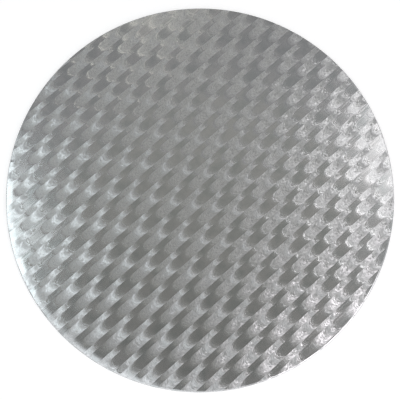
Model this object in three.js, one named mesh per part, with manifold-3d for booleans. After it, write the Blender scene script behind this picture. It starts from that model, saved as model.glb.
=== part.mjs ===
// A round turned-edge cake board: a greyboard disc wrapped in embossed silver foil paper.
// The foil is one sheet. It covers the top, rolls over the edge and is turned in under the
// board as a pleated hem, and a white paper disc is glued over the hem and the bare board.
//
// Millimetres, +Z up. The origin is at the centre of the face that the board stands on.
// +Y points away from someone who looks at the board with the embossed rows rising to the right.
import * as THREE from "three";
import { mergeVertices } from "three/addons/utils/BufferGeometryUtils.js";
import Module from "manifold-3d";

const wasm = await Module();
wasm.setup();

// Board
const boardDiameter = 254;
const coreThickness = 2.5;
const coreTopRound = 1.1;
const coreBottomRound = 0.5;
const glueLine = 0.05;

// Foil paper
const foilThickness = 0.25;
const hemWidth = 14;
const pleatCount = 36;
const creaseDepth = 0.12;
const creaseWidth = 1.8;

// Backing paper
const backingThickness = 0.2;
const backingMargin = 6;
const backingStepRun = 2;

// Embossing: rows of round-nosed tongues, each row moved along against the one before it
const embossDepth = 0.15;
const embossFlank = 0.6;
const embossMargin = 0.4;
const rowDirection = THREE.MathUtils.degToRad(41.3);
const rowPitch = 10.4;
const rowShift = 8.76;
const rowOffset = 3.15;
const tongueRepeat = 28.24;
const tongueOffset = 14.6;
const tongueWidth = 6.7;
const tongueLength = 9;
const noseDepth = 3.2;
const tailDepth = 1.6;

// How finely the round shapes are divided
const segmentsPerPleat = 3;
const segments = pleatCount * segmentsPerPleat;
const topRoundSteps = 4;
const bottomRoundSteps = 2;
const noseSteps = 2;

// Heights, from the paper that the board stands on up to the foil that carries the cake
const hemBottom = backingThickness + glueLine;
const hemTop = hemBottom + foilThickness;
const coreBottom = hemTop + glueLine;
const coreTop = coreBottom + coreThickness;
const foilUnderside = coreTop + glueLine;
const boardTop = foilUnderside + foilThickness;

// Radii
const boardRadius = boardDiameter / 2;
const foilInnerRadius = boardRadius - foilThickness;
const coreRadius = foilInnerRadius - glueLine;
const topCornerCentre = coreRadius - coreTopRound;
const bottomCornerCentre = coreRadius - coreBottomRound;
const hemInnerRadius = boardRadius - hemWidth;
const backingRadius = boardRadius - backingMargin;

/** Points of a quarter round in the half plane of a turned profile, from one angle to another. */
function quarterRound(centreR, centreZ, radius, fromDegrees, toDegrees, steps) {
  const points = [];
  for (let i = 0; i <= steps; i++) {
    const angle = THREE.MathUtils.degToRad(
      THREE.MathUtils.lerp(fromDegrees, toDegrees, i / steps),
    );
    points.push(
      new THREE.Vector2(
        centreR + radius * Math.cos(angle),
        centreZ + radius * Math.sin(angle),
      ),
    );
  }
  return points;
}

/** The rounded edge at one distance outside the core's surface, from the bottom to the top. */
function roundedEdge(distance) {
  return [
    ...quarterRound(
      bottomCornerCentre,
      coreBottom + coreBottomRound,
      coreBottomRound + distance,
      -90,
      0,
      bottomRoundSteps,
    ),
    ...quarterRound(
      topCornerCentre,
      coreTop - coreTopRound,
      coreTopRound + distance,
      0,
      90,
      topRoundSteps,
    ),
  ];
}

/** A profile turned about Z. It runs from the axis at the bottom, outwards, back to the axis. */
function turned(profile) {
  return new THREE.LatheGeometry(profile, segments).rotateX(Math.PI / 2);
}

/** The closed geometry as a solid that can be cut. */
function solidOf(geometry) {
  const bare = geometry.clone();
  bare.deleteAttribute("normal");
  bare.deleteAttribute("uv");
  const merged = mergeVertices(bare);
  return new wasm.Manifold(
    new wasm.Mesh({
      numProp: 3,
      vertProperties: merged.getAttribute("position").array,
      triVerts: new Uint32Array(merged.index.array),
    }),
  );
}

/** The solid's surface as a geometry with flat faces. */
function geometryOf(solid) {
  const { vertProperties, triVerts } = solid.getMesh();
  const indexed = new THREE.BufferGeometry();
  indexed.setAttribute(
    "position",
    new THREE.BufferAttribute(vertProperties, 3),
  );
  indexed.setIndex(new THREE.BufferAttribute(triVerts, 1));
  const geometry = indexed.toNonIndexed();
  geometry.computeVertexNormals();
  return geometry;
}

/** The greyboard disc, with the edges that die cutting and wrapping leave rounded. */
function coreGeometry() {
  return turned([
    new THREE.Vector2(0, coreBottom),
    ...roundedEdge(0),
    new THREE.Vector2(0, coreTop),
  ]);
}

/** Presses the creases between the pleats into the rings of the hem's underside. */
function creaseHem(geometry, profile, rings) {
  const position = geometry.getAttribute("position");
  const columnAngle = (2 * Math.PI) / segments;
  for (let column = 0; column <= segments; column++) {
    const fromCrease = column % segmentsPerPleat;
    const crease = column - fromCrease;
    for (const ring of rings) {
      const vertex = column * profile.length + profile.indexOf(ring);
      if (fromCrease === 0) {
        position.setZ(vertex, hemBottom + creaseDepth);
        continue;
      }
      const halfCrease = creaseWidth / 2 / ring.x;
      const angle =
        fromCrease === 1
          ? crease * columnAngle + halfCrease
          : (crease + segmentsPerPleat) * columnAngle - halfCrease;
      position.setX(vertex, ring.x * Math.sin(angle));
      position.setY(vertex, -ring.x * Math.cos(angle));
    }
  }
}

/** The foil sheet before it is embossed: top, edge and turned-in hem with its creases. */
function wrappedFoilGeometry() {
  const hemRings = [
    new THREE.Vector2(hemInnerRadius, hemBottom),
    new THREE.Vector2(backingRadius, hemBottom),
  ];
  const profile = [
    new THREE.Vector2(0, foilUnderside),
    ...roundedEdge(glueLine).reverse(),
    new THREE.Vector2(hemInnerRadius, hemTop),
    ...hemRings,
    ...roundedEdge(glueLine + foilThickness),
    new THREE.Vector2(0, boardTop),
  ];
  const geometry = turned(profile);
  creaseHem(geometry, profile, hemRings);
  return geometry;
}

/** Outline of one tongue in the frame of the rows: a round nose at start and a hollow tail. */
function tongueOutline(start, middle) {
  const halfWidth = tongueWidth / 2;
  const noseCentre = start + noseDepth;
  const up = Math.PI / 2;
  const down = 3 * up;
  const outline = new THREE.Shape();
  outline.absellipse(noseCentre, middle, noseDepth, halfWidth, up, down, false);
  outline.absellipse(
    noseCentre + tongueLength,
    middle,
    tailDepth,
    halfWidth,
    down,
    up,
    true,
  );
  return outline;
}

/** Outlines of the tongues that reach the flat of the board, in the frame of the rows. */
function tongueOutlines(reach) {
  const rows = Math.ceil(reach / rowPitch);
  const repeats = Math.ceil(reach / tongueRepeat) + 1;
  const outlines = [];
  for (let row = -rows; row <= rows; row++) {
    const middle = rowOffset + row * rowPitch;
    const firstStart = THREE.MathUtils.euclideanModulo(
      tongueOffset - row * rowShift,
      tongueRepeat,
    );
    for (let repeat = -repeats; repeat <= repeats; repeat++) {
      const start = firstStart + repeat * tongueRepeat;
      const midLength = start + (noseDepth + tongueLength) / 2;
      if (Math.hypot(midLength, middle) < reach + tongueLength / 2) {
        outlines.push(tongueOutline(start, middle));
      }
    }
  }
  return outlines;
}

/** All the tongues as one solid with sloping flanks, which cuts embossDepth into the top. */
function embossingSolid() {
  const reach = topCornerCentre - embossMargin;
  const tongues = new THREE.ExtrudeGeometry(tongueOutlines(reach), {
    depth: embossDepth,
    bevelThickness: embossDepth,
    bevelSize: embossFlank,
    bevelOffset: -embossFlank,
    bevelSegments: 1,
    curveSegments: noseSteps,
  });
  tongues.rotateZ(rowDirection);
  tongues.translate(0, 0, boardTop);
  const flat = turned([
    new THREE.Vector2(0, foilUnderside),
    new THREE.Vector2(reach, foilUnderside),
    new THREE.Vector2(reach, boardTop + embossDepth),
    new THREE.Vector2(0, boardTop + embossDepth),
  ]);
  return solidOf(tongues).intersect(solidOf(flat));
}

/** The foil cover with its embossed top. */
function foilGeometry() {
  return geometryOf(solidOf(wrappedFoilGeometry()).subtract(embossingSolid()));
}

/** The backing paper, which steps up from the hem to the bare board inside it. */
function backingGeometry() {
  const raise = coreBottom - glueLine - backingThickness;
  const stepOuter = hemInnerRadius - glueLine;
  const stepInner = stepOuter - backingStepRun;
  return turned([
    new THREE.Vector2(0, raise),
    new THREE.Vector2(stepInner, raise),
    new THREE.Vector2(stepOuter, 0),
    new THREE.Vector2(backingRadius, 0),
    new THREE.Vector2(backingRadius, backingThickness),
    new THREE.Vector2(stepOuter, backingThickness),
    new THREE.Vector2(stepInner, raise + backingThickness),
    new THREE.Vector2(0, raise + backingThickness),
  ]);
}

const greyboard = new THREE.MeshStandardMaterial({
  color: 0x8d867b,
  roughness: 0.95,
  metalness: 0,
});
const silverFoil = new THREE.MeshStandardMaterial({
  color: 0xc3c5c7,
  roughness: 0.3,
  metalness: 1,
});
const whitePaper = new THREE.MeshStandardMaterial({
  color: 0xf1efe9,
  roughness: 0.9,
  metalness: 0,
});

/** One named sub-part of the board. */
function subPart(name, geometry, material) {
  const mesh = new THREE.Mesh(geometry, material);
  mesh.name = name;
  return mesh;
}

const cakeBoard = new THREE.Group();
cakeBoard.add(subPart("core_board", coreGeometry(), greyboard));
cakeBoard.add(subPart("foil_cover", foilGeometry(), silverFoil));
cakeBoard.add(subPart("backing_paper", backingGeometry(), whitePaper));

export default cakeBoard;
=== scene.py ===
"""Round turned-edge cake board: grey board wrapped in engine-turned silver foil paper."""

import logging
import math
import random
from collections.abc import Iterator
from dataclasses import dataclass, field
from enum import Enum
from typing import Any

import bmesh
import bpy
from mathutils import Matrix, Quaternion, Vector


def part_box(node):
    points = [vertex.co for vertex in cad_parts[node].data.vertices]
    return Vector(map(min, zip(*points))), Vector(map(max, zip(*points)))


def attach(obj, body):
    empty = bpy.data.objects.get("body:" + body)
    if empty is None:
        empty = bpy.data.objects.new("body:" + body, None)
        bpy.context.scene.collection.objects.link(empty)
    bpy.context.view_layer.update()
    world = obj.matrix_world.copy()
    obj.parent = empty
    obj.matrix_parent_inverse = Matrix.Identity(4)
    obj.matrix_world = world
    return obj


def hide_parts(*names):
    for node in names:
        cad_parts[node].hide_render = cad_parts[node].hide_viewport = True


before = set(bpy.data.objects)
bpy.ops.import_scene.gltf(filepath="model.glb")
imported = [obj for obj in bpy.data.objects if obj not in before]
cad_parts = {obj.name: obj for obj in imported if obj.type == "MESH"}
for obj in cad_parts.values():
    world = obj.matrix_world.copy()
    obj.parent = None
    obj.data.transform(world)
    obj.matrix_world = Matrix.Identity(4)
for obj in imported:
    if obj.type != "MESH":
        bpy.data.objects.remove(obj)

logging.basicConfig(level=logging.INFO, format="%(levelname)s %(message)s")
log = logging.getLogger("cake_board")

MM = 0.001
WELD = MM / 1000
SEED = 7
PLEATS = 76
TURN_STEPS = 6 * PLEATS

# Inputs and output of a Mix node that mixes colours
MIX_FACTOR, MIX_A, MIX_B, MIX_RESULT = 0, 6, 7, 2


class Slot(Enum):
    """The record's material slots for the pieces made here, which nothing here assigns."""

    FOIL = "silver_foil"
    PAPER = "white_paper"


def slope(degrees: float) -> float:
    """Turns an angle in degrees into the sideways part of a leaning normal."""
    return math.tan(math.radians(degrees))


def linear(hex_colour: str) -> tuple[float, float, float, float]:
    """Turns an sRGB hex colour into linear values.

    Args:
        hex_colour: The colour as "#RRGGBB".

    Returns:
        Linear red, green and blue, and an alpha of 1.
    """
    channels = [int(hex_colour[i : i + 2], 16) / 255 for i in (1, 3, 5)]
    red, green, blue = (
        c / 12.92 if c <= 0.04045 else ((c + 0.055) / 1.055) ** 2.4 for c in channels
    )
    return red, green, blue, 1.0


def add_node(
    tree: bpy.types.NodeTree,
    kind: str,
    inputs: dict[str | int, Any] | None = None,
    **settings: Any,
) -> bpy.types.Node:
    """Adds a shader node with its settings and links.

    Args:
        tree: The node tree that the node goes into.
        kind: The node's type, without "ShaderNode" in front.
        inputs: What each input gets: a value, a socket, or a node for its first output.
        **settings: The node's own properties.

    Returns:
        The new node.
    """
    made = tree.nodes.new("ShaderNode" + kind)
    for name, value in settings.items():
        setattr(made, name, value)
    for key, value in (inputs or {}).items():
        source = value.outputs[0] if isinstance(value, bpy.types.Node) else value
        if isinstance(source, bpy.types.NodeSocket):
            tree.links.new(source, made.inputs[key])
        else:
            made.inputs[key].default_value = source
    return made


def new_material(name: str) -> tuple[bpy.types.Material, bpy.types.NodeTree]:
    """Makes an empty node material.

    Args:
        name: The material's name.

    Returns:
        The material and its node tree, with only an output in it.
    """
    material = bpy.data.materials.new(name)
    material.use_nodes = True
    material.node_tree.nodes.clear()
    add_node(material.node_tree, "OutputMaterial")
    return material, material.node_tree


def connect_surface(tree: bpy.types.NodeTree, shader: bpy.types.Node) -> None:
    """Links a shader to the tree's output."""
    output = next(n for n in tree.nodes if n.type.startswith("OUTPUT"))
    tree.links.new(shader.outputs[0], output.inputs["Surface"])


@dataclass(frozen=True)
class EngineTurning:
    """The foil's pattern: wide and narrow bands of nested round-nosed tongues, in millimetres.

    The bands run at an angle across the board, and a wide one and a narrow one make a pitch.
    Each kind has its own start, and each row is shifted along against the row before it. The
    bulge of the round noses is in half widths of their band.
    """

    direction: float = math.radians(41.3)
    pitch: float = 10.4
    repeat: float = 28.24
    shift: float = 8.76
    row_offset: float = 3.15
    wide_half: float = 3.36
    narrow_half: float = 1.84
    wide_start: float = 10.15
    narrow_start: float = 22.0
    nose_bulge: float = 1.1


TURNING = EngineTurning()


@dataclass(frozen=True)
class EngineTurnedFoil:
    """Aluminium foil laminated to paper, rolled bright and then engine turned.

    The rolled foil between the tongues is left smooth and mirrors the room, with faint dull
    clouds. Each tongue is scratched in fine nested curves whose lean turns along the tongue,
    so that its bright part lies in a different place on each side of the board. The scratches
    are broken into flecks, which make the tongues glitter, and whose darker colour is painted
    shade of the deep scratches. They are steep where they start and end, which draws a bright
    crescent there. The whole sheet buckles a little, and falls off in a soft bright shoulder at
    one side of the rim.

    Lengths are in millimetres and leans are slopes. A place along a tongue is a share of the
    pattern's repeat.
    """

    # Smooth foil and its clouds
    polished: str = "#DDDDDD"
    polished_roughness: float = 0.19
    clouded: str = "#CED1D1"
    cloud: float = 9.0
    cloud_range: tuple[float, float] = (0.4, 0.62)

    # Scratched foil: where it lies, and how its lean turns along the tongue
    frosted: str = "#F1F2F2"
    frosted_roughness: float = 0.325
    frost_rise: tuple[float, float] = (0.076, 0.39)
    frost_fall: tuple[float, float] = (0.68, 0.955)
    lean: float = slope(3.2)
    lean_reach: tuple[float, float] = (0.19, 0.74)
    lean_power: float = 1.78
    first_lean: float = math.radians(62)
    lean_turn: float = math.radians(362)

    # Flecks: their painted shade of the deep scratches, their size, how clearly they stand out,
    # and how steep they get along the tongue
    # Darker colour of the flecks: painted shade of the deep scratches
    fleck_painted_shade: str = "#D2D3D4"
    fleck_width: float = 0.42
    fleck_length: float = 1.6
    fleck_range: tuple[float, float] = (0.38, 0.58)
    fleck_leans: tuple[float, float] = (slope(8), slope(26))
    fleck_growth: tuple[float, float] = (0.35, 0.75)

    # Crescents at the start and the end of the scratches, with coarse foil round the second
    arc_places: tuple[float, float] = (0.24, 0.69)
    arc_half: float = 0.07
    arc_leans: tuple[float, float] = (slope(10), slope(14))
    coarse_half: float = 0.09
    coarse_roughness: float = 0.2

    # Buckles of the sheet, and the shoulder: its radii, its lean and the side that it is on
    buckle: float = 16.0
    buckle_lean: float = slope(1.3)
    shoulder: tuple[float, float] = (121.0, 126.2)
    shoulder_lean: float = slope(11)
    shoulder_side: tuple[float, float, float] = (-0.85, -0.53, 0.0)
    shoulder_reach: tuple[float, float] = (0.5, 0.95)

    def build(self) -> bpy.types.Material:
        """Builds the foil's material.

        Returns:
            The finished material.
        """
        material, tree = new_material("engine_turned_aluminium_foil")
        along, is_wide, place = self.bands(tree)
        q = self.phase(tree, along, is_wide)
        frost = self.frost(tree, q)
        flecks = self.flecks(tree, along, place)
        lit = add_node(
            tree,
            "MapRange",
            {"Value": flecks, "From Min": self.fleck_range[0], "From Max": self.fleck_range[1]},
        )
        shader = add_node(
            tree,
            "BsdfPrincipled",
            {
                "Base Color": self.colour(tree, frost, lit, place),
                "Metallic": 1.0,
                "Roughness": self.roughness(tree, q, frost),
                "Normal": self.normal(tree, q, frost, flecks, lit, place),
            },
        )
        connect_surface(tree, shader)
        return material

    def colour(
        self,
        tree: bpy.types.NodeTree,
        frost: bpy.types.Node,
        lit: bpy.types.Node,
        place: bpy.types.Node,
    ) -> bpy.types.NodeSocket:
        """Adds the nodes for the colour of the smooth foil with its clouds and of the scratches,
        whose flecks carry painted shade.

        Args:
            tree: The material's node tree.
            frost: How scratched the foil is.
            lit: How clearly the flecks stand out, from their painted shade to the frosted colour.
            place: The place in the frame of the bands in mm.

        Returns:
            The socket that gives the colour.
        """
        clouds = add_node(
            tree,
            "TexNoise",
            {"Vector": place, "Scale": 1 / self.cloud, "Detail": 3.0, "Roughness": 0.6},
        )
        dulled = add_node(
            tree,
            "MapRange",
            {"Value": clouds, "From Min": self.cloud_range[0], "From Max": self.cloud_range[1]},
        )
        # The scratches go from painted shade in their deep flecks to the frosted colour
        smooth, scratched = (
            add_node(
                tree,
                "Mix",
                {MIX_FACTOR: amount, MIX_A: linear(first), MIX_B: linear(second)},
                data_type="RGBA",
            ).outputs[MIX_RESULT]
            for amount, first, second in (
                (dulled, self.polished, self.clouded),
                (lit, self.fleck_painted_shade, self.frosted),
            )
        )
        return add_node(
            tree,
            "Mix",
            {MIX_FACTOR: frost, MIX_A: smooth, MIX_B: scratched},
            data_type="RGBA",
        ).outputs[MIX_RESULT]

    def roughness(
        self, tree: bpy.types.NodeTree, q: bpy.types.Node, frost: bpy.types.Node
    ) -> bpy.types.Node:
        """Adds the nodes for the roughness, with the coarse foil round the second crescent.

        Args:
            tree: The material's node tree.
            q: The share of the repeat.
            frost: How scratched the foil is.

        Returns:
            The node that gives the roughness.
        """
        fine = add_node(
            tree,
            "MapRange",
            {
                "Value": frost,
                "To Min": self.polished_roughness,
                "To Max": self.frosted_roughness,
            },
        )
        coarse = self.swell(
            tree, q, self.arc_places[1], self.coarse_half, self.coarse_roughness
        )
        return add_node(tree, "Math", {0: fine, 1: coarse}, operation="ADD")

    def bands(
        self, tree: bpy.types.NodeTree
    ) -> tuple[bpy.types.Node, bpy.types.Node, bpy.types.Node]:
        """Adds the nodes that fold the surface into wide and narrow bands.

        Args:
            tree: The material's node tree.

        Returns:
            The distance along the band less its curve's sag in mm, whether the band is a
            wide one, and the place in the frame of the bands in mm.
        """
        place = add_node(
            tree,
            "Mapping",
            {
                "Vector": add_node(tree, "TexCoord").outputs["Object"],
                "Rotation": (0, 0, -TURNING.direction),
                "Scale": (1 / MM, 1 / MM, 1 / MM),
            },
        )
        axes = add_node(tree, "SeparateXYZ", {0: place})
        off_row = add_node(
            tree, "Math", {0: axes.outputs["Y"], 1: TURNING.row_offset}, operation="SUBTRACT"
        )
        rows = add_node(tree, "Math", {0: off_row, 1: TURNING.pitch}, operation="DIVIDE")
        wide_row = add_node(tree, "Math", {0: rows}, operation="ROUND")
        narrow_row = add_node(tree, "Math", {0: rows}, operation="CEIL")
        narrow_middle = add_node(tree, "Math", {0: narrow_row, 1: 0.5}, operation="SUBTRACT")
        from_wide = add_node(tree, "Math", {0: rows, 1: wide_row}, operation="SUBTRACT")
        from_narrow = add_node(tree, "Math", {0: rows, 1: narrow_middle}, operation="SUBTRACT")
        off_wide = add_node(tree, "Math", {0: from_wide}, operation="ABSOLUTE")
        is_wide = add_node(
            tree,
            "Math",
            {0: off_wide, 1: TURNING.wide_half / TURNING.pitch},
            operation="LESS_THAN",
        )
        row, half, from_middle = (
            add_node(tree, "MapRange", {"Value": is_wide, "To Min": narrow, "To Max": wide})
            for narrow, wide in (
                (narrow_row, wide_row),
                (TURNING.narrow_half, TURNING.wide_half),
                (from_narrow, from_wide),
            )
        )
        slid = add_node(
            tree,
            "Math",
            {0: row, 1: TURNING.shift, 2: axes.outputs["X"]},
            operation="MULTIPLY_ADD",
        )
        sag = self.sag(tree, from_middle, half)
        along = add_node(tree, "Math", {0: slid, 1: sag}, operation="SUBTRACT")
        return along, is_wide, place

    def sag(
        self, tree: bpy.types.NodeTree, from_middle: bpy.types.Node, half: bpy.types.Node
    ) -> bpy.types.Node:
        """Adds the nodes for how far the round noses fall back from the middle of their band.

        Args:
            tree: The material's node tree.
            from_middle: The way from the band's middle, as a share of the pitch.
            half: Half the band's width in mm.

        Returns:
            The node that gives the distance in mm.
        """
        off = add_node(tree, "Math", {0: from_middle, 1: TURNING.pitch}, operation="MULTIPLY")
        across = add_node(tree, "Math", {0: off, 1: half}, operation="DIVIDE")
        squared = add_node(tree, "Math", {0: across, 1: across}, operation="MULTIPLY")
        left = add_node(
            tree, "Math", {0: 1.0, 1: squared}, operation="SUBTRACT", use_clamp=True
        )
        height = add_node(tree, "Math", {0: left}, operation="SQRT")
        fallen = add_node(tree, "Math", {0: 1.0, 1: height}, operation="SUBTRACT")
        depth = add_node(tree, "Math", {0: half, 1: TURNING.nose_bulge}, operation="MULTIPLY")
        return add_node(tree, "Math", {0: fallen, 1: depth}, operation="MULTIPLY")

    def phase(
        self, tree: bpy.types.NodeTree, along: bpy.types.Node, is_wide: bpy.types.Node
    ) -> bpy.types.Node:
        """Adds the nodes for the place within one repeat, from 0 in the middle of the smooth foil.

        Args:
            tree: The material's node tree.
            along: The distance along the band in mm.
            is_wide: Whether the band is a wide one.

        Returns:
            The share of the repeat, from 0 to 1.
        """
        start = add_node(
            tree,
            "MapRange",
            {"Value": is_wide, "To Min": TURNING.narrow_start, "To Max": TURNING.wide_start},
        )
        started = add_node(tree, "Math", {0: along, 1: start}, operation="ADD")
        repeats = add_node(tree, "Math", {0: started, 1: TURNING.repeat}, operation="DIVIDE")
        return add_node(tree, "Math", {0: repeats}, operation="FRACT")

    def frost(self, tree: bpy.types.NodeTree, q: bpy.types.Node) -> bpy.types.Node:
        """Adds the nodes for how scratched the foil is, from 0 to 1.

        Args:
            tree: The material's node tree.
            q: The share of the repeat.

        Returns:
            The node that gives the amount.
        """
        rise, fall = (
            add_node(
                tree,
                "MapRange",
                {"Value": q, "From Min": low, "From Max": high, "To Min": first, "To Max": last},
                interpolation_type="SMOOTHSTEP",
            )
            for (low, high), first, last in (
                (self.frost_rise, 0.0, 1.0),
                (self.frost_fall, 1.0, 0.0),
            )
        )
        return add_node(tree, "Math", {0: rise, 1: fall}, operation="MULTIPLY")

    def flecks(
        self, tree: bpy.types.NodeTree, along: bpy.types.Node, place: bpy.types.Node
    ) -> bpy.types.Node:
        """Adds the broken scratches, which follow the curve of the tongues.

        Args:
            tree: The material's node tree.
            along: The distance along the band in mm.
            place: The place in the frame of the bands in mm.

        Returns:
            The noise node.
        """
        across = add_node(tree, "SeparateXYZ", {0: place}).outputs["Y"]
        lengthened = add_node(
            tree,
            "CombineXYZ",
            {
                "X": add_node(tree, "Math", {0: along, 1: self.fleck_width}, operation="DIVIDE"),
                "Y": add_node(tree, "Math", {0: across, 1: self.fleck_length}, operation="DIVIDE"),
            },
        )
        return add_node(
            tree,
            "TexNoise",
            {"Vector": lengthened, "Scale": 1.0, "Detail": 1.0, "Roughness": 0.5},
        )

    def heading(self, tree: bpy.types.NodeTree, q: bpy.types.Node) -> bpy.types.Node:
        """Adds the nodes for the way that the scratches lean, which turns along the tongue.

        Args:
            tree: The material's node tree.
            q: The share of the repeat.

        Returns:
            The node that gives the direction, in the plane of the board.
        """
        reached = add_node(
            tree,
            "MapRange",
            {"Value": q, "From Min": self.lean_reach[0], "From Max": self.lean_reach[1]},
        )
        turned = add_node(tree, "Math", {0: reached, 1: self.lean_power}, operation="POWER")
        angle = add_node(
            tree,
            "Math",
            {0: turned, 1: -self.lean_turn, 2: self.first_lean},
            operation="MULTIPLY_ADD",
        )
        return add_node(
            tree,
            "CombineXYZ",
            {
                "X": add_node(tree, "Math", {0: angle}, operation="COSINE"),
                "Y": add_node(tree, "Math", {0: angle}, operation="SINE"),
            },
        )

    def noise_lean(
        self, tree: bpy.types.NodeTree, noise: bpy.types.Node, steepest: bpy.types.Node | float
    ) -> bpy.types.Node:
        """Adds the nodes that turn a noise into leans to all sides.

        Args:
            tree: The material's node tree.
            noise: The noise node.
            steepest: The lean at the ends of the noise's range.

        Returns:
            The node that gives the lean.
        """
        either_way = add_node(
            tree,
            "VectorMath",
            {0: noise.outputs["Color"], 1: (2, 2, 2), 2: (-1, -1, -1)},
            operation="MULTIPLY_ADD",
        )
        level = add_node(tree, "CombineXYZ", {"X": steepest, "Y": steepest})
        return add_node(tree, "VectorMath", {0: either_way, 1: level}, operation="MULTIPLY")

    def normal(
        self,
        tree: bpy.types.NodeTree,
        q: bpy.types.Node,
        frost: bpy.types.Node,
        flecks: bpy.types.Node,
        lit: bpy.types.Node,
        place: bpy.types.Node,
    ) -> bpy.types.Node:
        """Adds the nodes that lean the surface as its scratches, buckles and shoulder do.

        Args:
            tree: The material's node tree.
            q: The share of the repeat.
            frost: How scratched the foil is.
            flecks: The noise of the broken scratches.
            lit: How clearly the flecks stand out.
            place: The place in the frame of the bands in mm.

        Returns:
            The node that gives the normal.
        """
        heading = self.heading(tree, q)
        lean = add_node(tree, "VectorMath", {0: heading, "Scale": self.lean}, operation="SCALE")
        steepest = add_node(
            tree,
            "MapRange",
            {
                "Value": q,
                "From Min": self.fleck_growth[0],
                "From Max": self.fleck_growth[1],
                "To Min": self.fleck_leans[0],
                "To Max": self.fleck_leans[1],
            },
        )
        broken = self.noise_lean(tree, flecks, steepest)
        scratched = add_node(tree, "VectorMath", {0: lean, 1: broken}, operation="ADD")
        buckles = add_node(
            tree,
            "TexNoise",
            {"Vector": place, "Scale": 1 / self.buckle, "Detail": 2.0, "Roughness": 0.5},
        )
        facing = add_node(tree, "NewGeometry").outputs["Normal"]
        leaning = facing
        for part in (
            add_node(tree, "VectorMath", {0: scratched, "Scale": frost}, operation="SCALE"),
            self.arcs(tree, q, heading, lit),
            self.noise_lean(tree, buckles, self.buckle_lean),
            self.shoulder_fall(tree, facing),
        ):
            leaning = add_node(tree, "VectorMath", {0: leaning, 1: part}, operation="ADD")
        return add_node(tree, "VectorMath", {0: leaning}, operation="NORMALIZE")

    def swell(
        self,
        tree: bpy.types.NodeTree,
        q: bpy.types.Node,
        middle: float,
        half: float,
        height: float,
    ) -> bpy.types.Node:
        """Adds the nodes for a value that swells smoothly round one place of the repeat.

        Args:
            tree: The material's node tree.
            q: The share of the repeat.
            middle: The share where the value is highest.
            half: How far it reaches to each side.
            height: The highest value.

        Returns:
            The node that gives the value, which is 0 further off.
        """
        off = add_node(tree, "Math", {0: q, 1: middle}, operation="SUBTRACT")
        return add_node(
            tree,
            "MapRange",
            {
                "Value": add_node(tree, "Math", {0: off}, operation="ABSOLUTE"),
                "From Max": half,
                "To Min": height,
                "To Max": 0.0,
            },
            interpolation_type="SMOOTHSTEP",
        )

    def arcs(
        self,
        tree: bpy.types.NodeTree,
        q: bpy.types.Node,
        heading: bpy.types.Node,
        lit: bpy.types.Node,
    ) -> bpy.types.Node:
        """Adds the steep broken arcs where the scratches of a tongue start and end.

        Args:
            tree: The material's node tree.
            q: The share of the repeat.
            heading: The way that the scratches lean.
            lit: How clearly the flecks stand out.

        Returns:
            The node that gives the arcs' lean.
        """
        first, second = (
            self.swell(tree, q, middle, self.arc_half, steepness)
            for middle, steepness in zip(self.arc_places, self.arc_leans)
        )
        steep = add_node(tree, "Math", {0: first, 1: second}, operation="ADD")
        broken = add_node(tree, "Math", {0: steep, 1: lit}, operation="MULTIPLY")
        return add_node(tree, "VectorMath", {0: heading, "Scale": broken}, operation="SCALE")

    def shoulder_fall(
        self, tree: bpy.types.NodeTree, facing: bpy.types.NodeSocket
    ) -> bpy.types.Node:
        """Adds the nodes for the foil's soft fall towards one side of the turned edge.

        Args:
            tree: The material's node tree.
            facing: The surface's own normal.

        Returns:
            The node that gives the outward lean.
        """
        outwards = add_node(
            tree,
            "VectorMath",
            {0: add_node(tree, "TexCoord").outputs["Object"], 1: (1 / MM, 1 / MM, 0)},
            operation="MULTIPLY",
        )
        radius = add_node(tree, "VectorMath", {0: outwards}, operation="LENGTH")
        radial = add_node(tree, "VectorMath", {0: outwards}, operation="NORMALIZE")
        towards = add_node(
            tree, "VectorMath", {0: radial, 1: self.shoulder_side}, operation="DOT_PRODUCT"
        )
        fall, on_side = (
            add_node(
                tree,
                "MapRange",
                {
                    "Value": measured.outputs["Value"],
                    "From Min": low,
                    "From Max": high,
                    "To Max": most,
                },
                interpolation_type="SMOOTHSTEP",
            )
            for measured, (low, high), most in (
                (radius, self.shoulder, self.shoulder_lean),
                (towards, self.shoulder_reach, 1.0),
            )
        )
        upwards = add_node(
            tree,
            "Math",
            {0: add_node(tree, "SeparateXYZ", {0: facing}).outputs["Z"], 1: fall},
            operation="MULTIPLY",
            use_clamp=True,
        )
        leaning = add_node(tree, "Math", {0: upwards, 1: on_side}, operation="MULTIPLY")
        return add_node(tree, "VectorMath", {0: radial, "Scale": leaning}, operation="SCALE")


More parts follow.
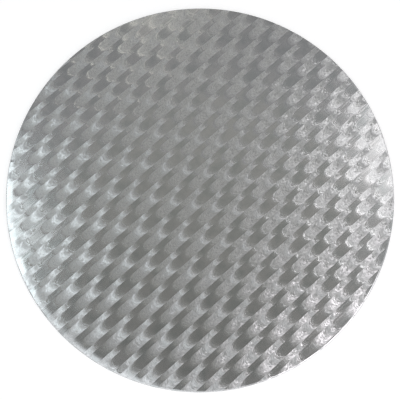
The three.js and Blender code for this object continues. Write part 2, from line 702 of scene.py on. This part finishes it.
@dataclass(frozen=True)
class FibrousPaper:
    """Pressed paper fibre, from white backing paper to unbleached grey board.

    Short fibres lie in every direction, which gives a soft mottle and a faintly rough face.
    Lengths are in millimetres.
    """

    name: str
    base: str
    fibre: str
    fibre_length: float
    mottle: float
    roughness: float
    relief: float
    mottle_range: tuple[float, float] = (0.15, 0.42)
    roughness_spread: float = 0.1

    def build(self) -> bpy.types.Material:
        """Builds the paper's material.

        Returns:
            The finished material.
        """
        material, tree = new_material(self.name)
        place = add_node(
            tree,
            "Mapping",
            {
                "Vector": add_node(tree, "TexCoord").outputs["Object"],
                "Scale": (1 / MM, 1 / MM, 1 / MM),
            },
        )
        cloud = add_node(
            tree,
            "TexNoise",
            {"Vector": place, "Scale": 1 / self.mottle, "Detail": 3.0, "Roughness": 0.6},
        )
        fibres = add_node(
            tree,
            "TexNoise",
            {
                "Vector": place,
                "Scale": 1 / self.fibre_length,
                "Detail": 6.0,
                "Roughness": 0.7,
                "Distortion": 1.5,
            },
        )
        amount = add_node(
            tree,
            "MapRange",
            {
                "Value": add_node(tree, "Math", {0: cloud, 1: fibres}, operation="MULTIPLY"),
                "From Min": self.mottle_range[0],
                "From Max": self.mottle_range[1],
            },
        )
        colour = add_node(
            tree,
            "Mix",
            {MIX_FACTOR: amount, MIX_A: linear(self.base), MIX_B: linear(self.fibre)},
            data_type="RGBA",
        ).outputs[MIX_RESULT]
        roughness = add_node(
            tree,
            "MapRange",
            {
                "Value": fibres,
                "To Min": self.roughness,
                "To Max": self.roughness + self.roughness_spread,
            },
        )
        bump = add_node(
            tree,
            "Bump",
            {"Height": fibres, "Strength": 1.0, "Distance": self.relief * MM},
        )
        shader = add_node(
            tree,
            "BsdfPrincipled",
            {"Base Color": colour, "Roughness": roughness, "Normal": bump},
        )
        connect_surface(tree, shader)
        return material


WHITE_BACKING_PAPER = FibrousPaper(
    "uncoated_white_paper",
    base="#EFEDE7",
    fibre="#F7F5F1",
    fibre_length=1.2,
    mottle=9.0,
    roughness=0.82,
    relief=0.03,
)
UNBLEACHED_GREY_BOARD = FibrousPaper(
    "pressed_grey_board",
    base="#857E73",
    fibre="#A39B8E",
    fibre_length=2.0,
    mottle=6.0,
    roughness=0.88,
    relief=0.08,
)


def piece_from(
    name: str, bm: bmesh.types.BMesh, material: bpy.types.Material | None = None
) -> bpy.types.Object:
    """Turns a bmesh into an object at the origin.

    Args:
        name: The object's name.
        bm: The finished bmesh, which is freed.
        material: The finish of all its faces.

    Returns:
        The new object.
    """
    mesh = bpy.data.meshes.new(name)
    bm.to_mesh(mesh)
    bm.free()
    if material:
        mesh.materials.append(material)
    made = bpy.data.objects.new(name, mesh)
    bpy.context.scene.collection.objects.link(made)
    return made


def spin_profile(bm: bmesh.types.BMesh, points: list[tuple[float, float]]) -> None:
    """Spins a profile that runs between two caps about Z, and closes the caps.

    Args:
        bm: The empty bmesh to fill.
        points: Radius and height of each profile point, from one cap's edge to the other's.
    """
    verts = [bm.verts.new((radius, 0, height)) for radius, height in points]
    edges = [bm.edges.new(pair) for pair in zip(verts, verts[1:])]
    bmesh.ops.spin(
        bm,
        geom=verts + edges,
        cent=(0, 0, 0),
        axis=(0, 0, 1),
        dvec=(0, 0, 0),
        angle=2 * math.pi,
        steps=TURN_STEPS,
        use_merge=True,
        use_duplicate=False,
    )
    bmesh.ops.remove_doubles(bm, verts=bm.verts, dist=WELD)
    bmesh.ops.holes_fill(bm, edges=bm.edges, sides=0)
    bmesh.ops.recalc_face_normals(bm, faces=bm.faces)


def quarter_round(
    centre: tuple[float, float], radius: float, start: float, end: float, steps: int
) -> list[tuple[float, float]]:
    """Works out the points of an arc in a profile.

    Args:
        centre: Radius and height of the arc's centre.
        radius: The arc's radius.
        start: The first angle, in degrees.
        end: The last angle, in degrees.
        steps: How many steps the arc has.

    Returns:
        Radius and height of each point, both ends included.
    """
    angles = [math.radians(start + (end - start) * i / steps) for i in range(steps + 1)]
    return [
        (centre[0] + radius * math.cos(a), centre[1] + radius * math.sin(a)) for a in angles
    ]


@dataclass(frozen=True)
class TongueBand:
    """One kind of band as it is pressed: its place and half width in mm, and its tongues."""

    row_shift: float
    half: float
    start: float
    tongue_length: float


@dataclass
class FoilCover:
    """The foil paper: top, rolled edge and the pleated hem turned in under the board.

    The tongues are pressed only a hundredth of a millimetre deep, as on the real sheet, so
    their look comes from the finish. Lengths are in metres.
    """

    paper: float = 0.25 * MM
    top_round: float = 1.4 * MM
    bottom_round: float = 0.8 * MM
    round_steps: int = 14
    inner_round_steps: int = 4

    # The hem and its creases: how far they stray, how deep they are and how wide
    hem_width: float = 14 * MM
    visible_hem: float = 6 * MM
    hem_rings: int = 7
    pleat_stray: float = 0.3
    pleat_depth: float = 0.13 * MM
    pleat_depths: tuple[float, float] = (0.6, 1.0)
    crease_half: float = 0.28

    # The tongues
    relief: float = 0.01 * MM
    flank: float = 0.6 * MM
    border: float = 0.4 * MM
    nose_steps: int = 12
    tail_hollow: float = 0.5
    bands: tuple[TongueBand, TongueBand] = (
        TongueBand(0.0, TURNING.wide_half, TURNING.wide_start, 9 * MM),
        TongueBand(-0.5, TURNING.narrow_half, TURNING.narrow_start, 8.5 * MM),
    )

    low: Vector = field(default_factory=lambda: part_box("foil_cover")[0])
    high: Vector = field(default_factory=lambda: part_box("foil_cover")[1])

    @property
    def reach(self) -> float:
        """The radius of the flat that the tongues are pressed into."""
        return self.high.x - self.top_round - self.border

    def profile(self) -> list[tuple[float, float]]:
        """Works out the section from the top's rim round to the foil's inner face.

        Returns:
            Radius and height of each profile point.
        """
        radius, top, bottom = self.high.x, self.high.z, self.low.z
        top_centre = (radius - self.top_round, top - self.top_round)
        bottom_centre = (radius - self.bottom_round, bottom + self.bottom_round)
        hem_inner = radius - self.hem_width
        hem = [
            (bottom_centre[0] + (hem_inner - bottom_centre[0]) * i / self.hem_rings, bottom)
            for i in range(1, self.hem_rings + 1)
        ]
        inner_top = self.top_round - self.paper
        inner_bottom = self.bottom_round - self.paper
        return [
            *quarter_round(top_centre, self.top_round, 90, 0, self.round_steps),
            *quarter_round(bottom_centre, self.bottom_round, 0, -90, self.round_steps),
            *hem,
            (hem_inner, bottom + self.paper),
            *quarter_round(bottom_centre, inner_bottom, -90, 0, self.inner_round_steps),
            *quarter_round(top_centre, inner_top, 0, 90, self.inner_round_steps),
        ]

    def pleat_hem(self, bm: bmesh.types.BMesh) -> None:
        """Presses uneven creases into the hem, deeper towards its inner edge.

        Args:
            bm: The turned shell.
        """
        dice = random.Random(SEED)
        spacing = 2 * math.pi / PLEATS
        angles = [
            (i + dice.uniform(-self.pleat_stray, self.pleat_stray)) * spacing
            for i in range(PLEATS)
        ]
        depths = [self.pleat_depth * dice.uniform(*self.pleat_depths) for _ in angles]
        outer = self.high.x - self.bottom_round
        for vert in bm.verts:
            distance = vert.co.xy.length
            if abs(vert.co.z - self.low.z) > WELD or distance > outer:
                continue
            turn = math.atan2(vert.co.y, vert.co.x) % (2 * math.pi)
            offs = [
                abs((turn - angle + math.pi) % (2 * math.pi) - math.pi) for angle in angles
            ]
            off = min(offs)
            inwards = min(1, (outer - distance) / self.visible_hem)
            share = max(0, 1 - off / (self.crease_half * spacing))
            vert.co.z += depths[offs.index(off)] * inwards * share

    def tongue(self, half_width: float, length: float) -> bpy.types.Mesh:
        """Makes one closed tongue with sloping flanks, its nose's centre at the origin.

        It stands as far above the foil's face as it cuts below it, and is half_width wide
        at its upper end.

        Args:
            half_width: Half its width.
            length: Its length along the band.

        Returns:
            The tongue's mesh.
        """
        bm = bmesh.new()
        tip = bm.verts.new((0, half_width, 0))
        bmesh.ops.spin(
            bm,
            geom=[tip],
            cent=(0, 0, 0),
            axis=(0, 0, 1),
            dvec=(0, 0, 0),
            angle=math.pi,
            steps=self.nose_steps,
            use_merge=False,
            use_duplicate=False,
        )
        edges = list({e for e in bm.edges if e.is_wire})
        swept = bmesh.ops.extrude_edge_only(bm, edges=edges)["geom"]
        tail = [g for g in swept if isinstance(g, bmesh.types.BMVert)]
        bmesh.ops.scale(bm, vec=(self.tail_hollow, 1, 1), verts=tail)
        bmesh.ops.translate(bm, vec=(length, 0, 0), verts=tail)
        faces = [g for g in swept if isinstance(g, bmesh.types.BMFace)]
        lid = bmesh.ops.extrude_face_region(bm, geom=faces, use_keep_orig=True)["geom"]
        floor = [g for g in lid if isinstance(g, bmesh.types.BMVert)]
        shrink = (1 - 2 * self.flank / length, 1 - 2 * self.flank / half_width, 1)
        middle = Matrix.Translation((-length / 2, 0, 0))
        bmesh.ops.scale(bm, vec=shrink, verts=floor, space=middle)
        bmesh.ops.translate(bm, vec=(0, 0, -2 * self.relief), verts=floor)
        bmesh.ops.recalc_face_normals(bm, faces=bm.faces)
        mesh = bpy.data.meshes.new("tongue")
        bm.to_mesh(mesh)
        bm.free()
        return mesh

    def placings(self, band: TongueBand, half_width: float) -> Iterator[Matrix]:
        """Works out where the tongues of one kind of band go.

        Args:
            band: The kind of band.
            half_width: Half the width of its tongues.

        Yields:
            The placing of each tongue that reaches the flat of the board.
        """
        turn = Matrix.Rotation(TURNING.direction, 4, "Z")
        length = band.tongue_length
        rows = math.ceil(self.reach / (TURNING.pitch * MM)) + 1
        repeats = math.ceil(self.reach / (TURNING.repeat * MM)) + 1
        for row in range(-rows, rows + 1):
            middle = (TURNING.row_offset + (row + band.row_shift) * TURNING.pitch) * MM
            slide = (-band.start - row * TURNING.shift) % TURNING.repeat * MM
            for repeat in range(-repeats, repeats + 1):
                nose = slide + repeat * TURNING.repeat * MM - length / 2 + half_width
                if math.hypot(nose + length / 2, middle) <= self.reach + length:
                    yield turn @ Matrix.Translation((nose, middle, 0))

    def tongues(self) -> bpy.types.Object:
        """Makes all the tongues that reach the flat of the board, as one cutting object.

        Returns:
            The object, in place.
        """
        cutter = bmesh.new()
        for band in self.bands:
            half_width = band.half * MM - self.border
            mesh = self.tongue(half_width, band.tongue_length)
            for placing in self.placings(band, half_width):
                before = len(cutter.verts)
                cutter.from_mesh(mesh)
                cutter.verts.ensure_lookup_table()
                added = cutter.verts[before:]
                bmesh.ops.transform(cutter, matrix=placing, verts=added)
            bpy.data.meshes.remove(mesh)
        bmesh.ops.translate(
            cutter, vec=(0, 0, self.high.z + self.relief), verts=cutter.verts
        )
        return piece_from("tongue_cutter", cutter)

    def flat_disc(self) -> bpy.types.Object:
        """Makes the disc that the tongues are trimmed to.

        Returns:
            The object, in place.
        """
        disc = bmesh.new()
        bmesh.ops.create_cone(
            disc,
            cap_ends=True,
            segments=TURN_STEPS,
            radius1=self.reach,
            radius2=self.reach,
            depth=4 * self.relief,
            matrix=Matrix.Translation((0, 0, self.high.z)),
        )
        return piece_from("trimming_disc", disc)

    def build(self, material: bpy.types.Material) -> bpy.types.Object:
        """Builds the foil cover.

        Args:
            material: The foil's finish.

        Returns:
            The finished object.
        """
        bm = bmesh.new()
        spin_profile(bm, self.profile())
        self.pleat_hem(bm)
        shell = piece_from("foil_shell", bm)
        cutter = self.tongues()
        trimmed = combine(cutter, self.flat_disc(), "INTERSECT", "trimmed_tongues")
        foil = combine(shell, trimmed, "DIFFERENCE", "foil")
        mesh = foil.data
        mesh.materials.clear()
        mesh.materials.append(material)
        flat_height = self.high.z - 2 * self.relief
        for polygon in mesh.polygons:
            polygon.use_smooth = polygon.center.z < flat_height or (
                polygon.center.xy.length > self.high.x - self.top_round
            )
        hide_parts("foil_cover")
        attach(foil, "root")
        return foil


def combine(
    kept: bpy.types.Object, tool: bpy.types.Object, operation: str, name: str
) -> bpy.types.Object:
    """Cuts or trims one closed object with another, and removes both.

    Args:
        kept: The object that is cut.
        tool: The object that cuts it.
        operation: "DIFFERENCE" or "INTERSECT".
        name: The new object's name.

    Returns:
        The new object.
    """
    modifier = kept.modifiers.new("cut", "BOOLEAN")
    modifier.operation = operation
    modifier.solver = "MANIFOLD"
    modifier.object = tool
    evaluated = kept.evaluated_get(bpy.context.evaluated_depsgraph_get())
    mesh = bpy.data.meshes.new_from_object(evaluated)
    mesh.name = name
    made = bpy.data.objects.new(name, mesh)
    bpy.context.scene.collection.objects.link(made)
    for old in (kept, tool):
        bpy.data.objects.remove(old)
    return made


@dataclass
class BackingPaper:
    """The white paper disc glued over the hem and the bare board."""

    paper: float = 0.2 * MM
    step_run: float = 2 * MM
    low: Vector = field(default_factory=lambda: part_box("backing_paper")[0])
    high: Vector = field(default_factory=lambda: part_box("backing_paper")[1])

    def build(self, material: bpy.types.Material) -> bpy.types.Object:
        """Builds the backing paper.

        Args:
            material: The paper's finish.

        Returns:
            The finished object.
        """
        outer = self.high.x
        step_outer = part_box("foil_cover")[1].x - FoilCover.hem_width
        step_inner = step_outer - self.step_run
        raised = self.high.z - self.paper
        bottom = self.low.z
        bm = bmesh.new()
        spin_profile(
            bm,
            [
                (step_inner, raised),
                (step_outer, bottom),
                (outer, bottom),
                (outer, bottom + self.paper),
                (step_outer, bottom + self.paper),
                (step_inner, self.high.z),
            ],
        )
        backing = piece_from("backing", bm, material)
        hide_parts("backing_paper")
        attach(backing, "root")
        return backing


@dataclass
class CoreBoard:
    """The grey board inside, which keeps its own shape and gets its finish here."""

    node: str = "core_board"

    def dress(self, material: bpy.types.Material) -> bpy.types.Object:
        """Gives the board its finish.

        Args:
            material: The board's finish.

        Returns:
            The board's object.
        """
        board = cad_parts[self.node]
        board.data.materials.clear()
        board.data.materials.append(material)
        return board


@dataclass(frozen=True)
class Lamp:
    """A round soft lamp that faces the board, with its angles in degrees and sizes in metres."""

    name: str
    azimuth: float
    elevation: float
    size: float
    radiance: float
    colour: str
    distance: float = 1.0

    def add(self) -> None:
        """Adds the lamp to the scene."""
        lamp = bpy.data.lights.new(self.name, "AREA")
        lamp.shape = "DISK"
        lamp.size = self.size
        # A disc's power is its radiance times pi times its area
        lamp.energy = self.radiance * (math.pi * self.size / 2) ** 2
        lamp.color = linear(self.colour)[:3]
        placed = bpy.data.objects.new(self.name, lamp)
        turn = math.radians(self.azimuth)
        rise = math.radians(self.elevation)
        placed.location = self.distance * Vector(
            (math.cos(turn) * math.cos(rise), math.sin(turn) * math.cos(rise), math.sin(rise))
        )
        placed.rotation_euler = (-placed.location).to_track_quat("-Z", "Y").to_euler()
        bpy.context.scene.collection.objects.link(placed)


LAMPS = (
    Lamp("right_lamp", 22.2, 42.8, 0.56, 1.12, "#FFFDFE"),
    Lamp("left_lamp", 181.5, 38.5, 0.78, 1.28, "#F0FCFF"),
    Lamp("front_lamp", 244.0, 37.0, 0.70, 0.62, "#F4FBFF"),
    Lamp("corner_lamp", 319.2, 36.9, 0.74, 1.88, "#FFF8FC"),
    Lamp("back_lamp", 100.0, 39.0, 0.42, 0.50, "#FFFDF0"),
)


@dataclass(frozen=True)
class RoomPart:
    """A part of the room round the studio: its colour, level, and how that changes across it."""

    colour: str
    level: float
    gradient: tuple[float, float, float]

    def add(
        self, tree: bpy.types.NodeTree, direction: bpy.types.NodeSocket
    ) -> bpy.types.NodeSocket:
        """Adds the nodes that give the part's light.

        Args:
            tree: The world's node tree.
            direction: The direction that is looked in.

        Returns:
            The socket with the light's colour.
        """
        rise = add_node(
            tree, "VectorMath", {0: direction, 1: self.gradient}, operation="DOT_PRODUCT"
        ).outputs["Value"]
        level = add_node(
            tree, "Math", {0: rise, 1: self.level, 2: self.level}, operation="MULTIPLY_ADD"
        )
        return add_node(
            tree,
            "VectorMath",
            {0: linear(self.colour)[:3], "Scale": level},
            operation="SCALE",
        ).outputs[0]


@dataclass
class Studio:
    """White table, soft lamps and a dim room, with the photo's camera.

    The camera's place and target are in board radii from the middle of the foil's face, and
    its focal length is in half widths of the sensor. Other lengths are in metres.
    """

    camera_place: tuple[float, float, float] = (0.0381, -0.3357, 1.9762)
    camera_target: tuple[float, float, float] = (0.0078, -0.0656, 0.0)
    camera_roll: float = math.radians(-6.29)
    focal: float = 1.95
    sensor: float = 36.0

    # White floor: its glow, what is left of that beside the board, and where its shadow fades
    floor_size: float = 6.0
    floor_paint: str = "#F6F6F6"
    floor_glow: float = 1.57
    near_glow: float = 0.4
    shadow_fade: tuple[float, float] = (0.25, 0.75)

    # Room, which shows in the foil, and the heights between which its walls meet the ceiling
    walls: RoomPart = RoomPart("#FDFDFF", 0.415, (0.108, -0.62, 0.0))
    ceiling: RoomPart = RoomPart("#FFFFF9", 0.250, (0.152, 1.15, 0.0))
    ceiling_edge: tuple[float, float] = (0.893, 0.932)

    def build(self) -> None:
        """Builds the floor, lamps, world and camera."""
        self.floor()
        for lamp in LAMPS:
            lamp.add()
        self.world()
        self.camera()

    def floor(self) -> None:
        """Adds the white floor, which turns plain white a little way off the board's shadow."""
        bm = bmesh.new()
        bmesh.ops.create_grid(bm, x_segments=1, y_segments=1, size=self.floor_size / 2)
        material, tree = new_material("white_table")
        rays = add_node(tree, "LightPath")
        direct = add_node(
            tree,
            "Math",
            {0: rays.outputs["Is Camera Ray"], 1: rays.outputs["Is Glossy Ray"]},
            operation="MAXIMUM",
        )
        seen = add_node(
            tree,
            "Math",
            {0: direct, 1: rays.outputs["Is Transmission Ray"]},
            operation="MAXIMUM",
        )
        distance = add_node(
            tree,
            "VectorMath",
            {0: add_node(tree, "TexCoord").outputs["Object"]},
            operation="LENGTH",
        ).outputs["Value"]
        whitened = add_node(
            tree,
            "MapRange",
            {
                "Value": distance,
                "From Min": self.shadow_fade[0],
                "From Max": self.shadow_fade[1],
                "To Min": self.near_glow,
                "To Max": 1.0,
            },
        )
        glow = add_node(tree, "Math", {0: seen, 1: whitened}, operation="MULTIPLY")
        lit = {"Color": linear("#FFFFFF"), "Strength": self.floor_glow}
        shader = add_node(
            tree,
            "MixShader",
            {
                0: glow,
                1: add_node(tree, "BsdfDiffuse", {"Color": linear(self.floor_paint)}),
                2: add_node(tree, "Emission", lit),
            },
        )
        connect_surface(tree, shader)
        piece_from("floor", bm, material)

    def world(self) -> None:
        """Sets the world: walls that are brightest in front, and a ceiling brightest behind."""
        world = bpy.data.worlds.new("studio")
        world.use_nodes = True
        tree = world.node_tree
        tree.nodes.clear()
        add_node(tree, "OutputWorld")
        direction = add_node(tree, "TexCoord").outputs["Generated"]
        upwards = add_node(tree, "SeparateXYZ", {0: direction}).outputs["Z"]
        overhead = add_node(
            tree,
            "MapRange",
            {
                "Value": upwards,
                "From Min": self.ceiling_edge[0],
                "From Max": self.ceiling_edge[1],
            },
            interpolation_type="SMOOTHSTEP",
        )
        room = add_node(
            tree,
            "Mix",
            {
                MIX_FACTOR: overhead,
                MIX_A: self.walls.add(tree, direction),
                MIX_B: self.ceiling.add(tree, direction),
            },
            data_type="RGBA",
        ).outputs[MIX_RESULT]
        seen = add_node(tree, "LightPath").outputs["Is Camera Ray"]
        shown = add_node(
            tree,
            "Mix",
            {MIX_FACTOR: seen, MIX_A: room, MIX_B: linear("#FFFFFF")},
            data_type="RGBA",
        ).outputs[MIX_RESULT]
        shader = add_node(tree, "Background", {"Color": shown, "Strength": 1.0})
        connect_surface(tree, shader)
        bpy.context.scene.world = world

    def camera(self) -> None:
        """Sets the camera where the photo was taken from."""
        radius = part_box("foil_cover")[1].x
        top = Vector((0, 0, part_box("foil_cover")[1].z))
        lens = bpy.data.cameras.new("camera")
        lens.sensor_width = self.sensor
        lens.lens = self.focal * self.sensor / 2
        camera = bpy.data.objects.new("camera", lens)
        camera.location = Vector(self.camera_place) * radius + top
        aim = Vector(self.camera_target) * radius + top - camera.location
        roll = Quaternion((0, 0, 1), self.camera_roll)
        camera.rotation_euler = (aim.to_track_quat("-Z", "Y") @ roll).to_euler()
        bpy.context.scene.collection.objects.link(camera)
        bpy.context.scene.camera = camera


def main() -> None:
    """Builds the cake board and its studio, and logs each piece that it dresses or builds."""
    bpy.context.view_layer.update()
    Studio().build()
    core = CoreBoard().dress(UNBLEACHED_GREY_BOARD.build())
    log.info("dressed %s", core.name)
    for part, finish in (
        (FoilCover(), EngineTurnedFoil().build()),
        (BackingPaper(), WHITE_BACKING_PAPER.build()),
    ):
        made = part.build(finish)
        log.info("built %s with %d faces", made.name, len(made.data.polygons))
    bpy.context.scene.view_settings.view_transform = "Standard"


if __name__ == "__main__":
    main()
